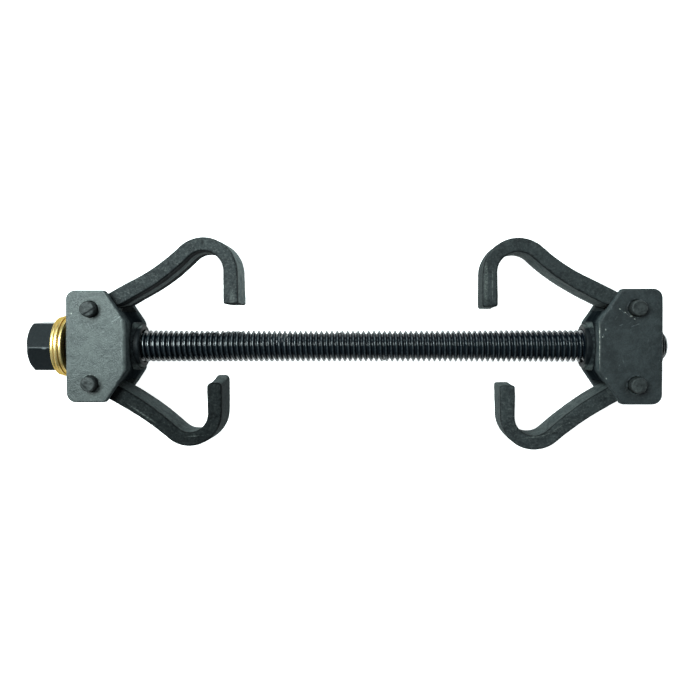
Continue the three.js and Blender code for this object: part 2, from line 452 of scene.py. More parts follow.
def oxide_finish():
    """Glossy oiled black oxide on the spindle, rubbed lighter on crests and corners.

    The hex head takes a lighter painted tone, standing in for the light on it, and is duller than
    the thread.
    """
    f = Finish("black_oxide", (0.004, 0.006, 0.007), 0.2, 0.2, specular=0.42)
    stain = f.noise(5, detail=5)
    fine = f.noise(0.7, detail=4)
    head = f.ramp(f.along("X"), ORIGIN[0] + 15.5 * MM, ORIGIN[0] + 14.5 * MM)
    base = f.mix(f.ramp(stain, 0.35, 0.7), (0.0018, 0.0034, 0.0054), (0.0036, 0.0062, 0.009))
    # Painted light: the hex head takes this lighter tone, standing in for the light on its flats
    rubbed = f.mix(f.ramp(fine, 0.35, 0.7), (0.0038, 0.0056, 0.0068), (0.0068, 0.0093, 0.0105))
    base = f.mix(head, base, rubbed)
    broken = f.ramp(f.noise(1.6), 0.3, 0.7, 0.3, 1.0)
    edge = f.math("MULTIPLY", f.ramp(f.wear(), 0.25, 0.95), broken)
    color = f.mix(edge, base, (0.016, 0.021, 0.024))
    color = f.mix(f.marks([(11.0, -1.2, 15.4, 0, 4.0, 1.2)]), color, (0.1, 0.11, 0.115))
    dull = f.mix(head, f.ramp(stain, 0.3, 0.75, 0.15, 0.2), f.ramp(fine, 0.3, 0.7, 0.34, 0.42))
    level = f.math("SUBTRACT", 0.42, f.math("MULTIPLY", head, 0.26))
    level = f.math("MULTIPLY", level, f.ramp(f.facing("Z"), -0.1, 0.45, 0.15, 1.0))
    f.set(f.shader.inputs["Specular IOR Level"], level)
    return f.finish(color, dull, f.bump(f.math("MULTIPLY", fine, head), 0.04, 0.6))


def zinc_finish():
    """Yellow chromated zinc with warm and green tints, rubbed edges, and painted shade on the sides
    that face across the spindle.
    """
    f = Finish("yellow_zinc", (0.55, 0.39, 0.12), 0.9, 0.24)
    f.shader.inputs["Specular Tint"].default_value = (0.72, 0.56, 0.28, 1)
    tint = f.noise(7, detail=3)
    warm = f.mix(f.ramp(tint, 0.35, 0.65), (0.6, 0.42, 0.12), (0.72, 0.52, 0.22))
    green = f.mix(f.ramp(f.noise(4.5, detail=2), 0.5, 0.75), warm, (0.52, 0.47, 0.16))
    color = f.mix(f.ramp(f.wear(), 0.2, 1.0, 0.0, 0.45), green, (0.75, 0.60, 0.30))
    # Painted shade: darker where the washers face across the spindle
    sides = f.ramp(f.math("ABSOLUTE", f.facing("Y")), 0.3, 0.8, 0.0, 0.8)
    color = f.mix(sides, color, (0.16, 0.10, 0.02))
    turning = f.noise(0.5, detail=2, stretch=(0.12, 1, 1))
    dull = f.ramp(turning, 0.3, 0.7, 0.26, 0.4)
    return f.finish(color, dull, f.bump(turning, 0.02, 0.5))


def plate_finish(name, dark, light, roughness, scratches, nicks, shadow_marks, shade_below):
    """Phosphated plate: mottled and finely pitted, edges rubbed bare, scratched and nicked.

    The last argument says how much painted shade darkens it towards its short hook's end.
    """
    f = Finish(name, dark, 0.15, roughness, specular=0.27)
    cloud = f.noise(11, detail=5, roughness=0.65, distortion=0.6)
    patch = f.noise(3.2, detail=5, roughness=0.7, distortion=0.4)
    grain = f.noise(0.9, detail=5, roughness=0.75)
    brushed = f.noise(2.2, detail=4, stretch=(1, 0.16, 1), turn=28)
    mottle = f.math("ADD", f.math("MULTIPLY", cloud, 0.5), f.math("MULTIPLY", brushed, 0.2))
    mottle = f.math("ADD", mottle, f.math("MULTIPLY", patch, 0.3))
    base = f.mix(f.ramp(mottle, 0.42, 0.6), dark, light)
    base = f.mix(f.ramp(grain, 0.46, 0.68, 0.0, 0.5), base, tuple(0.4 * c for c in dark))
    specks = f.ramp(f.noise(1.3, detail=3, roughness=0.8), 0.58, 0.7, 0.0, 0.4)
    base = f.mix(specks, base, tuple(1.5 * c for c in light))
    # Painted shade: darker towards the short hook's end, by the last argument
    stain = f.ramp(f.along("Y"), ORIGIN[1] - 8 * MM, ORIGIN[1] - 30 * MM, 0.0, shade_below)
    base = f.mix(stain, base, tuple(0.4 * c for c in dark))
    # Painted shadows: dark patches against the pins
    base = f.mix(f.math("MULTIPLY", f.marks(shadow_marks), 0.8), base, tuple(0.15 * c for c in dark))
    worn = tuple(1.6 * c + 0.012 for c in light)
    rubbed = f.math("MULTIPLY", f.ramp(f.wear(), 0.2, 0.55), f.ramp(f.noise(2.5), 0.44, 0.64))
    base = f.mix(f.math("MULTIPLY", rubbed, 0.8), base, worn)
    broken = f.ramp(f.noise(1.4, detail=3), 0.4, 0.6, 0.35, 1.0)
    lines = f.math("MULTIPLY", f.marks(scratches, depth=1.5), broken)
    base = f.mix(f.math("MULTIPLY", lines, 0.7), base, tuple(2.0 * c + 0.03 for c in light))
    # Light marks in bare-metal colour: nicks, and on the far plate a painted highlight along its
    # bend
    bare = f.math("MULTIPLY", f.marks(nicks, depth=1.5), broken)
    base = f.mix(bare, base, (0.26, 0.275, 0.25))
    dull = f.ramp(cloud, 0.3, 0.7, roughness - 0.07, roughness + 0.08)
    dull = f.math("ADD", dull, f.ramp(grain, 0.3, 0.7, -0.06, 0.06))
    height = f.bump(grain, 0.22, 1.0, f.bump(patch, 0.6, 0.5))
    normal = f.bump(f.math("MULTIPLY", f.math("MAXIMUM", lines, bare), -1.0), 0.1, 0.4, height)
    return f.finish(base, dull, normal)


def shaded_sides_finish():
    """Dull phosphate on the webs and sides of the yokes, darkened with painted shade: darkest far
    in, lightest near the bends, with specks.
    """
    f = Finish("yoke_sides_painted_shade", (0.006, 0.009, 0.01), 0.0, 0.9, specular=0.0)
    cloud = f.noise(4, detail=6, roughness=0.7)
    grain = f.noise(1.1, detail=4, roughness=0.75)
    level = f.math("ABSOLUTE", f.math("SUBTRACT", f.along("Z"), ORIGIN[2]))
    near_bend = f.ramp(level, 9 * MM, 16 * MM)
    # Painted shade: near black far in on the webs and sides, lighter towards the bends, where less
    # shade is painted
    painted_shade = f.mix(f.ramp(cloud, 0.36, 0.66), (0.0026, 0.004, 0.005), (0.007, 0.0095, 0.011))
    rubbed = f.mix(f.ramp(cloud, 0.36, 0.66), (0.022, 0.028, 0.03), (0.046, 0.055, 0.056))
    base = f.mix(near_bend, painted_shade, rubbed)
    specks = f.math("MULTIPLY", f.ramp(grain, 0.56, 0.7), f.ramp(level, 7 * MM, 14 * MM, 0.05, 0.8))
    base = f.mix(specks, base, (0.065, 0.074, 0.074))
    return f.finish(base, f.ramp(grain, 0.3, 0.7, 0.72, 0.85), f.bump(grain, 0.15, 0.8))


def forged_finish(name, shade, specular, scaly, inner_shade, sides, tip_side_light, streaks):
    """Blackened forging scale: blotchy and pitted, with flow lines, and painted shade along the
    corners by the flats.

    Shade is a painted lightness for the whole hook. A scaly one is more strongly mottled, and
    inner_shade, a painted shade, darkens the half of its inner side that is next to the flat faces.
    Its sides are duller than its flats, and take a painted lightness of their own, standing in for
    the light they catch: sides where they face across the spindle, and tip_side_light where they
    face along it.
    """
    def shaded(*color):
        return tuple(shade * c for c in color)

    f = Finish(name, shaded(0.012, 0.015, 0.016), 0.1, 0.48, specular=specular)
    cloud = f.noise(7, detail=6, roughness=0.7, distortion=1.0)
    grain = f.noise(1.2, detail=4, roughness=0.8)
    flow = f.noise(3, detail=5, stretch=(2.4, 0.5, 1))
    flakes = f.noise(1.3, detail=3, roughness=0.8, distortion=0.5)
    pits = f.spots(2.3, 0.22)
    blotches = f.ramp(cloud, 0.38, 0.64)
    base = f.mix(blotches, shaded(0.011, 0.014, 0.015), shaded(0.022, 0.027, 0.028))
    base = f.mix(f.ramp(flow, 0.5, 0.72, 0.0, 0.5), base, shaded(0.036, 0.042, 0.042))
    base = f.mix(f.ramp(grain, 0.46, 0.62, 0.0, scaly), base, shaded(0.003, 0.0045, 0.0055))
    base = f.mix(f.ramp(flakes, 0.5, 0.66, 0.0, scaly), base, shaded(0.075, 0.083, 0.08))
    level_face = f.math("ABSOLUTE", f.facing("Z"))
    # Painted light and shade on the sides: a lighter tone standing in for the light they catch,
    # scaled by sides across the spindle and by tip_side_light along it
    beside = f.ramp(level_face, 0.6, 0.3)
    side = f.mix(f.ramp(cloud, 0.34, 0.64), (0.056, 0.07, 0.071), (0.112, 0.128, 0.125))
    side = f.mix(f.ramp(grain, 0.46, 0.66, 0.0, 0.5), side, (0.02, 0.027, 0.029))
    dim = f.ramp(f.math("ABSOLUTE", f.facing("X")), 0.55, 0.85, sides, tip_side_light)
    side = f.mix(dim, (0.002, 0.003, 0.004), side)
    base = f.mix(beside, base, side)
    broken = f.ramp(f.noise(0.9, detail=3, roughness=0.8), 0.42, 0.62, 0.1, 0.85)
    base = f.mix(f.math("MULTIPLY", f.marks(streaks), broken), base, (0.07, 0.078, 0.074))
    level = f.math("ABSOLUTE", f.math("SUBTRACT", f.along("Z"), ORIGIN[2]))
    level = f.math("ADD", level, f.ramp(f.noise(3), 0.2, 0.8, -0.4 * MM, 0.4 * MM))
    # Painted shade: a dark line along the corners by the flats, and a dark band on the inner side
    # next to the flats, as strong as inner_shade
    corner = f.math(
        "MULTIPLY", f.ramp(level, 10.4 * MM, 11.2 * MM), f.ramp(level, 12.3 * MM, 11.9 * MM)
    )
    inner = f.math("MULTIPLY", f.ramp(f.facing("Y"), -0.15, -0.5), f.ramp(level, 2.5 * MM, 5 * MM))
    shadow = f.math("MAXIMUM", f.math("MULTIPLY", corner, 0.85), f.math("MULTIPLY", inner, inner_shade))
    base = f.mix(shadow, base, shaded(0.002, 0.0032, 0.004))
    rim = f.math(
        "MULTIPLY", f.ramp(level, 9.3 * MM, 9.8 * MM), f.ramp(level, 10.7 * MM, 10.2 * MM)
    )
    rim = f.math("MULTIPLY", rim, f.ramp(f.noise(2.5), 0.35, 0.6, 0.15, 0.6))
    base = f.mix(rim, base, shaded(0.05, 0.058, 0.057))
    rubbed = f.math("MULTIPLY", f.ramp(f.wear(), 0.3, 0.6), f.ramp(f.noise(2.2), 0.52, 0.66))
    base = f.mix(f.math("MULTIPLY", rubbed, 0.8), base, shaded(0.10, 0.11, 0.105))
    dull = f.math("ADD", f.ramp(cloud, 0.3, 0.7, 0.42, 0.58), f.ramp(grain, 0.3, 0.7, -0.06, 0.08))
    rough = f.bump(grain, 0.3, 1.0, f.bump(flakes, 0.5, 0.7))
    normal = f.bump(f.math("MULTIPLY", pits, -1.0), 0.12, 0.5, rough)
    f.set(f.shader.inputs["Specular IOR Level"], f.ramp(level_face, 0.3, 0.7, 0.0, specular))
    return f.finish(base, dull, normal)


def pin_finish():
    """Dull, hammered pin steel under thin phosphate."""
    f = Finish("pin_dark", (0.0126, 0.0147, 0.0147), 0.3, 0.5, specular=0.22)
    cloud = f.noise(2.6, detail=6, roughness=0.7)
    grain = f.noise(0.5, detail=4, roughness=0.7)
    base = f.mix(f.ramp(cloud, 0.36, 0.66), (0.0095, 0.0115, 0.0118), (0.0273, 0.0315, 0.0315))
    base = f.mix(f.ramp(grain, 0.45, 0.8, 0.0, 0.55), base, (0.0046, 0.0059, 0.0063))
    rubbed = f.math("MULTIPLY", f.ramp(f.wear(), 0.2, 0.6), f.ramp(f.noise(1.4), 0.4, 0.65))
    base = f.mix(f.math("MULTIPLY", rubbed, 0.5), base, (0.0462, 0.0483, 0.0462))
    dull = f.ramp(grain, 0.3, 0.7, 0.42, 0.62)
    return f.finish(base, dull, f.bump(grain, 0.1, 0.8, f.bump(cloud, 0.35, 0.5)))


def painted_light_beside_rod(f, stain):
    """A patchy mask of painted light over what stands out at the two sides of the rod and faces up.
    """
    out = f.math("ABSOLUTE", f.math("SUBTRACT", f.along("Y"), ORIGIN[1]))
    proud = f.math("MULTIPLY", f.ramp(out, 9.6 * MM, 11.2 * MM), f.ramp(f.facing("Z"), 0.05, 0.5))
    return f.math("MULTIPLY", proud, f.ramp(stain, 0.3, 0.6, 0.3, 1.0))


def sleeve_finish():
    """Turned and blackened sleeves, with faint tool marks, and painted light at the two sides of
    each rim where it faces up.
    """
    f = Finish("sleeve_black", (0.004, 0.0055, 0.0065), 0.0, 0.6, specular=0.08)
    stain = f.noise(4, detail=6, roughness=0.7)
    turning = f.noise(0.45, detail=2, stretch=(1, 12, 12))
    base = f.mix(f.ramp(stain, 0.35, 0.7), (0.002, 0.003, 0.004), (0.0065, 0.0085, 0.0095))
    # Painted light where the rim stands out at the rod's two sides and faces up
    base = f.mix(painted_light_beside_rod(f, stain), base, (0.09, 0.105, 0.1))
    dull = f.ramp(stain, 0.3, 0.7, 0.45, 0.62)
    return f.finish(base, dull, f.bump(turning, 0.05, 0.6, f.bump(stain, 0.3, 0.4)))


def weld_finish():
    """Weld metal under phosphate, blotchy, with painted light where it stands out at the two sides
    and faces up.
    """
    f = Finish("weld_bead", (0.004, 0.005, 0.006), 0.0, 0.8, specular=0.02)
    stain = f.noise(2.2, detail=6, roughness=0.75)
    base = f.mix(f.ramp(stain, 0.36, 0.66), (0.005, 0.0065, 0.0075), (0.018, 0.022, 0.023))
    # Painted light where the weld stands out at the rod's two sides and faces up
    base = f.mix(painted_light_beside_rod(f, stain), base, (0.045, 0.053, 0.052))
    return f.finish(base, f.ramp(stain, 0.3, 0.7, 0.55, 0.75), f.bump(stain, 0.35, 0.6))


PLATE_TOP = box_mm("head_yoke")[1][2]

# On the head plate: strokes beside the slanting edge, thin scratches, and nicks by the open edge
HEAD_SCRATCHES = [
    (52.6, 14.2, PLATE_TOP, 24, 3.6, 0.9), (54.2, 15.2, PLATE_TOP, 32, 3.4, 0.9),
    (55.6, 16.2, PLATE_TOP, 38, 3.0, 0.8), (53.6, 16.6, PLATE_TOP, 30, 2.6, 0.7),
    (51.6, 12.8, PLATE_TOP, 20, 2.4, 0.6), (56.8, 14.6, PLATE_TOP, 44, 2.4, 0.6),
    (31.5, 7.0, PLATE_TOP, 75, 4.0, 0.3), (42.0, -24.0, PLATE_TOP, 20, 4.5, 0.3),
    (47.0, -9.0, PLATE_TOP, 65, 3.4, 0.3), (57.0, -3.0, PLATE_TOP, 88, 9.0, 0.4),
    (30.0, -16.0, PLATE_TOP, 100, 5.0, 0.3), (48.5, 4.0, PLATE_TOP, 30, 3.0, 0.3),
    (36.0, -11.0, PLATE_TOP, 12, 3.5, 0.3),
]
HEAD_NICKS = [
    (28.8, 18.4, PLATE_TOP, 100, 1.3, 0.9), (32.0, 22.6, PLATE_TOP, 60, 0.7, 0.4),
]
# On the far plate: chips beside and under the upper pin, and a painted highlight along the bend
FAR_SCRATCHES = [
    (327.1, 15.4, PLATE_TOP, 62, 3.4, 0.5), (331.0, 18.4, PLATE_TOP, 130, 3.0, 0.5),
    (333.0, 17.4, PLATE_TOP, 140, 3.4, 0.5), (337.0, 14.6, PLATE_TOP, 150, 3.0, 0.5),
    (329.7, 11.6, PLATE_TOP, 20, 3.0, 0.5), (338.4, 12.0, PLATE_TOP, 25, 3.6, 0.6),
    (336.0, 11.0, PLATE_TOP, 28, 3.0, 0.5), (334.4, 12.8, PLATE_TOP, 35, 2.6, 0.5),
    (323.2, 22.4, PLATE_TOP, 49, 4.4, 1.0), (325.3, 25.0, PLATE_TOP, 52, 5.0, 0.8),
    (321.0, 17.6, PLATE_TOP, 56, 4.0, 0.8), (324.6, 21.0, PLATE_TOP, 80, 2.6, 0.6),
    (320.5, 6.0, PLATE_TOP, 100, 2.2, 0.6), (321.4, 9.4, PLATE_TOP, 70, 1.8, 0.6),
    (331.0, -8.0, PLATE_TOP, 110, 3.0, 0.4), (329.0, -10.0, PLATE_TOP, 60, 2.0, 0.4),
    (344.0, 3.0, PLATE_TOP, 80, 4.0, 0.3), (334.0, -4.0, PLATE_TOP, 30, 3.0, 0.3),
]
FAR_NICKS_AND_BEND_HIGHLIGHT = [
    # The first two marks are a painted highlight along the bend by the web, the rest are chips
    (318.25, 1.0, PLATE_TOP - 0.3, 90, 36.0, 1.0), (318.25, 6.0, PLATE_TOP - 0.3, 90, 22.0, 1.0),
    (329.0, 20.2, PLATE_TOP, 130, 1.2, 0.8), (331.8, 18.4, PLATE_TOP, 150, 1.3, 0.6),
    (335.0, 16.4, PLATE_TOP, 10, 2.2, 1.2), (336.9, 14.9, PLATE_TOP, 140, 0.8, 0.5),
    (322.1, -17.2, PLATE_TOP, 130, 1.4, 0.9),
    (321.6, 9.2, PLATE_TOP, 90, 1.2, 0.6), (320.0, 5.2, PLATE_TOP, 90, 1.0, 0.5),
]


def painted_pin_shadows(name):
    """Painted shadow against each pin, on the side towards the middle of the spindle."""
    pins = [middle(f"{name}_{kind}_pin") for kind in SIDE]
    return [(x + 1.6 * FACING[name], y - 0.8, PLATE_TOP, 0, 14.0, 14.0) for x, y, _ in pins]


OXIDE = oxide_finish()
ZINC = zinc_finish()
YOKE_SHADED_SIDES = shaded_sides_finish()
YOKE_FINISH = {
    "head": plate_finish(
        "yoke_grey", (0.029, 0.036, 0.036), (0.058, 0.068, 0.066), 0.4, HEAD_SCRATCHES, HEAD_NICKS,
        painted_pin_shadows("head"), 0.34,
    ),
    "far": plate_finish(
        "yoke_black", (0.006, 0.009, 0.01), (0.0145, 0.0195, 0.021), 0.46, FAR_SCRATCHES, FAR_NICKS_AND_BEND_HIGHLIGHT,
        painted_pin_shadows("far"), 0.1,
    ),
}
HOOK_TOP = box_mm("head_long_hook")[1][2]
# Places on the hooks' upper flats where the scale is rubbed off
STREAKS = {
    "head_long": [(66.0, 44.5, HOOK_TOP, 38, 22.0, 4.0), (117.5, 27.0, HOOK_TOP, 90, 14.0, 4.0)],
    "head_short": [(66.0, -38.2, HOOK_TOP, -34, 26.0, 1.4), (96.0, -50.5, HOOK_TOP, 4, 12.0, 0.9)],
    "far_long": [(258.4, 36.0, HOOK_TOP, 90, 32.0, 3.0), (262.0, 34.0, HOOK_TOP, 90, 24.0, 1.0)],
    "far_short": [
        (284.0, -50.2, HOOK_TOP, 8, 18.0, 1.0), (292.5, -48.4, HOOK_TOP, 20, 14.0, 0.9),
        (298.0, -45.0, HOOK_TOP, 32, 10.0, 0.9), (304.0, -42.2, HOOK_TOP, 0, 1.8, 1.6),
        (262.0, -31.0, HOOK_TOP, 90, 7.0, 1.6),
    ],
}
# What forged_finish takes after the name, for each hook: shade, a painted lightness for the whole
# hook; specular; scaly, how mottled its scale is, which differs from forging to forging;
# inner_shade, painted shade on its inner side; sides and tip_side_light, painted lightness of its
# sides
FORGED = {
    f"{name}_{kind}": forged_finish(f"forged_black_{name}_{kind}", *look, STREAKS[f"{name}_{kind}"])
    for (name, kind), look in zip(
        HOOKS, (
            (0.95, 0.12, 0.5, 0.9, 0.85, 1.0), (0.4, 0.03, 0.4, 0.0, 0.6, 0.25),
            (0.8, 0.1, 0.25, 0.0, 0.9, 0.3), (0.85, 0.1, 0.35, 0.0, 0.6, 0.4),
        )
    )
}
PIN_STEEL = pin_finish()
SLEEVE = sleeve_finish()
WELD = weld_finish()


# Spindle ------------------------------------------------------------------------------------

HEX_FLATS = 27
HEX_HEIGHT = 14.4
HEX_TURN = 93.7  # degrees from +y to the corner that faces up
HEX_CORNER = 0.175  # rubbed off each corner of the hex
HEAD_CHAMFER = 2.3
HEAD_EDGE = 0.4
THREAD_RADIUS = 9
THREAD_PITCH = 3
THREAD_DEPTH = 1.85
THREAD_START = 52
END_CHAMFER = 2.6
SPINDLE_SIDES = 192
# A tooth's crest, and crest and flank together, as shares of half a pitch
CREST, FLANK_END = 0.2, 0.86
# How far out the rows are that close the head's outer face, its back and the threaded end
FACE_ROWS = (0.15, 0.35, 0.55, 0.75, 0.9, 0.97)
BACK_ROWS = (0.92, 0.8, 0.7)
END_RADII = (6.4, 6.1, 3.0)
# Crests mashed over: x, degrees from +y, length along the spindle, degrees round it, how full
DENTS = [
    (92.5, 5, 1.8, 12, 0.7), (100.8, 4, 2.4, 13, 0.85), (105.5, 10, 1.6, 10, 0.7),
    (112.5, 4, 3.2, 14, 1.0), (117.5, 7, 3.0, 15, 1.0), (120.5, 2, 2.0, 11, 0.8),
    (139.5, 52, 2.6, 16, 0.75), (143.8, 60, 3.0, 18, 0.8), (147.5, 50, 2.6, 15, 0.7),
    (178.0, 5, 1.8, 9, 0.7), (187.0, 0, 1.5, 10, 0.6), (202.5, -176, 2.6, 12, 0.8),
    (263.0, 3, 1.4, 8, 0.6),
]


def head_rows(angles):
    """The chamfered hex head, with its two faces: x and a radius for each angle, row by row."""
    reach = HEX_FLATS / math.sqrt(3)
    rise = (angles - math.radians(HEX_TURN)) % (math.pi / 3) - math.pi / 6
    prism = np.minimum(HEX_FLATS / 2 / np.cos(rise), reach - HEX_CORNER)
    rows = []
    for x in np.linspace(0, HEX_HEIGHT, 61):
        cone = reach + 0.1 - HEAD_CHAMFER + x
        past_edge = max(HEAD_EDGE - x, x - HEX_HEIGHT + HEAD_EDGE, 0)
        rows.append((x, np.minimum(prism, cone) - 1.2 * past_edge ** 2))
    face = [(0, rows[0][1] * share) for share in FACE_ROWS]
    back = [(HEX_HEIGHT, rows[-1][1] * share) for share in BACK_ROWS]
    return face + rows + back


def thread_row(x, end, angles):
    """The radius at each angle of a right-handed thread, with its dents and its chamfered end."""
    share = (x / THREAD_PITCH - angles / (2 * math.pi)) % 1
    away = np.abs(share - 0.5) * 2
    slant = np.clip((away - CREST) / (FLANK_END - CREST), 0, 1)
    row = THREAD_RADIUS - THREAD_DEPTH * (0.55 * slant + 0.45 * smoothstep(slant, 0, 1))
    for dent_x, dent_at, length, width, fullness in DENTS:
        turn = (angles - math.radians(dent_at) + math.pi) % (2 * math.pi) - math.pi
        fill = np.exp(-((x - dent_x) / length) ** 2 * 2 - (turn / math.radians(width)) ** 2)
        row = row + fullness * fill * (THREAD_RADIUS - 0.35 - row)
    return np.minimum(row, THREAD_RADIUS - END_CHAMFER + (end - x))


def make_spindle():
    angles = np.arange(SPINDLE_SIDES) * 2 * math.pi / SPINDLE_SIDES
    end = (spindle_high[0] - spindle_low[0]) / MM
    rows = head_rows(angles)
    # The plain shank in the bush, then the thread
    for x in np.arange(HEX_HEIGHT, THREAD_START, 2.0):
        rows.append((x, np.full(SPINDLE_SIDES, THREAD_RADIUS - 0.05)))
    for x in np.arange(THREAD_START, end, 0.15):
        rows.append((x, thread_row(x, end, angles)))
    rows += [(end, np.full(SPINDLE_SIDES, radius)) for radius in END_RADII]
    points, faces = revolved([x for x, _ in rows], np.array([row for _, row in rows]))
    grain = noise(points, 1.3, 11)
    outward = points * [0, 1, 1]
    outward /= np.maximum(np.linalg.norm(outward, axis=1), 1e-6)[:, None]
    threaded = points[:, 0] > THREAD_START
    points = points + outward * np.where(threaded, 0.003 * grain, 0.015 * grain)[:, None]
    radius = np.hypot(points[:, 1], points[:, 2])
    crest = np.clip((radius - (THREAD_RADIUS - 0.7)) / 0.6, 0, 1) * threaded
    turn = (np.arctan2(points[:, 2], points[:, 1]) - math.radians(HEX_TURN)) % (math.pi / 3)
    corner = np.minimum(turn, math.pi / 3 - turn) < math.radians(1.4)
    on_head = (points[:, 0] > 0.2) & (points[:, 0] < HEX_HEIGHT) & (radius > 12)
    wear = np.where(on_head, 0.9 * corner, crest)
    points, faces = capped(points, faces, len(rows), SPINDLE_SIDES, 0, end)
    wear = np.append(wear, [0, 0])
    make_piece(
        "spindle_threaded", points, faces, OXIDE, "screw", wear, slot="spindle_black",
        node="spindle",
    )


# Washers and sleeves --------------------------------------------------------------------------

RING_BORE = THREAD_RADIUS + 0.3
SLEEVE_NODES = {"head": "head_bush", "far": "drive_nut"}


def make_turned_pieces():
    for where, body in (("outer", "screw"), ("middle", "free_washer"), ("inner", "head")):
        node = f"thrust_washer_{where}"
        low, high = box_mm(node)
        make_ring(
            f"washer_{where}", RING_BORE, high[1], low[0], high[0], 0.75, ZINC, body, sides=192,
            node=node, slot="zinc_yellow",
        )
    for name, node in SLEEVE_NODES.items():
        low, high = box_mm(node)
        make_ring(
            f"{node}_turned", RING_BORE, high[1], low[0], high[0], 1.1, SLEEVE, name, rough=0.06,
            node=node, slot="sleeve_black",
        )


# Yokes --------------------------------------------------------------------------------------

YOKE_STEEL = 5
YOKE_CORNER = 5.3
YOKE_CUT_LENGTH = 12.4
YOKE_CUT_WIDTH = 18.3
YOKE_CUT_CORNER = 2.2
BEND_OUTSIDE = {"head": 2.4, "far": 1.3}
YOKE_SLOT = {"head": "yoke_grey", "far": "yoke_black"}
BEND_INSIDE = 1
YOKE_EDGE = 0.75
PIN_HOLE = 4.55
WEB_BORE = 12.8


def local_x(name, x):
    """From a yoke's open edge, towards its web."""
    low, high = box_mm(f"{name}_yoke")
    return x - low[0] if name == "head" else high[0] - x


def yoke_distance(name):
    low, high = box_mm(f"{name}_yoke")
    length, half, top = high[0] - low[0], (high[1] - low[1]) / 2, (high[2] - low[2]) / 2
    inner, web = top - YOKE_STEEL, length - YOKE_STEEL
    section = rounded_outline([
        [-4, top, 0], [-4, inner, 0], [web, inner, BEND_INSIDE], [web, -inner, BEND_INSIDE],
        [-4, -inner, 0], [-4, -top, 0], [length, -top, BEND_OUTSIDE[name]],
        [length, top, BEND_OUTSIDE[name]],
    ])
    cut_x, cut_y = length - YOKE_CUT_LENGTH, half - YOKE_CUT_WIDTH
    plate = rounded_outline([
        [0, -half, YOKE_CORNER], [cut_x, -half, YOKE_CUT_CORNER], [length, -cut_y, YOKE_CUT_CORNER],
        [length, cut_y, YOKE_CUT_CORNER], [cut_x, half, YOKE_CUT_CORNER], [0, half, YOKE_CORNER],
    ])
    pins = [middle(f"{name}_{kind}_pin") for kind in SIDE]

    def distance(x, y, z):
        across = local_x(name, x)
        solid = both(
            outline_distance(across, z, section), outline_distance(across, y, plate), YOKE_EDGE
        )
        solid = np.maximum(solid, np.where(across > web - 2, WEB_BORE - np.hypot(y, z), -9))
        for pin in pins:
            solid = both(solid, PIN_HOLE - np.hypot(x - pin[0], y - pin[1]), 0.25)
        return solid
    return distance, low, high


def make_yokes():
    for seed, name in enumerate(FACING):
        distance, low, high = yoke_distance(name)

        def relief(points, out):
            flat = 0.09 * noise(points, 14, 20 + seed) + 0.05 * noise(points, 4, 30 + seed)
            edge = np.clip(1 - np.abs(np.max(np.abs(out), axis=1)), 0, 0.3) / 0.3
            return 0.6 * flat + edge * 0.12 * noise(points, 2.6, 40 + seed)

        # The sideways faces take the side finish, which is painted shade
        make_solid(
            f"{name}_yoke_plate", distance, low, high, 0.5, YOKE_FINISH[name], name, relief,
            side=YOKE_SHADED_SIDES, node=f"{name}_yoke", slot=YOKE_SLOT[name],
        )


def make_welds():
    """A weld round each sleeve where it leaves the web, heaviest at the web's two sides."""
    for seed, (name, sleeve) in enumerate(SLEEVE_NODES.items()):
        low, high = box_mm(f"{name}_yoke")
        face = high[0] if name == "head" else low[0]
        way = FACING[name]
        outer = box_mm(sleeve)[1][1]
        reach = outer + 4

        def distance(x, y, z):
            away = (x - face) * way
            turn = np.arctan2(z, y)
            size = 1.4 + 2.3 * np.cos(turn) ** 2 + 0.1 * np.sin(turn * 17 + 2 * np.cos(turn * 3))
            fillet = (away + np.hypot(y, z) - outer - size) / math.sqrt(2)
            solid = both(fillet, np.abs(y) - outer - 1.1, 0.8)
            return np.maximum(np.maximum(solid, 0.05 - away), outer + 0.06 - np.hypot(y, z))

        make_solid(
            f"{name}_weld", distance, [face - 4.5, -reach, -reach], [face + 4.5, reach, reach], 0.4,
            WELD, name, lambda points, out: 0.16 * noise(points, 1.6, 50 + seed),
            slot=YOKE_SLOT[name],
        )


# Hooks --------------------------------------------------------------------------------------

EYE_RADIUS = 7.5
BAR_AT_EYE = 9.3
BAR_AT_ARCH = 8
BAR_AT_TIP = 8.6
HOOK_EDGE = 1.15
HOOK_SHAPES = {
    "long": dict(
        arm_angle=27.5, arm=29.2, bend_radius=108.8, rise_angle=42, rise=4, arch=15.5, tip=18.5,
    ),
    "short": dict(
        arm_angle=28.5, arm=13.9, bend_radius=170, rise_angle=40.5, rise=3, arch=14.5, tip=17.4,
    ),
}
# How much further a tip reaches on the under side of a hook, and the radius of its corners
TIP_ENDS = {
    "head_long": (0.0, 1.3), "head_short": (3.5, 2.8), "far_long": (0.8, 1.5),
    "far_short": (0.5, 1.5),
}
REST_TURNS = {"head_long": 0.8, "head_short": -0.5, "far_long": -0.5, "far_short": 0.5}


def hook_line(shape, rest_turn):
    """The middle of a hook's bar from its pin: [x, y, heading, share of the length] rows."""
    bend = math.radians(shape["rise_angle"] - shape["arm_angle"])
    arch = math.radians(shape["rise_angle"] + 90)
    stretches = [
        (shape["arm"], 0, 6), (shape["bend_radius"] * bend, bend, 12), (shape["rise"], 0, 1),
        (shape["arch"] * arch, -arch, 28), (shape["tip"], 0, 4),
    ]
    total = sum(length for length, _, _ in stretches)
    line = [(0.0, 0.0, math.radians(shape["arm_angle"] + rest_turn), 0.0)]
    for length, turn, steps in stretches:
        for _ in range(steps):
            x, y, heading, share = line[-1]
            step = length / steps
            mid = heading + turn / steps / 2
            line.append((
                x + step * math.cos(mid), y + step * math.sin(mid), heading + turn / steps,
                share + step / total,
            ))
    return np.array(line)


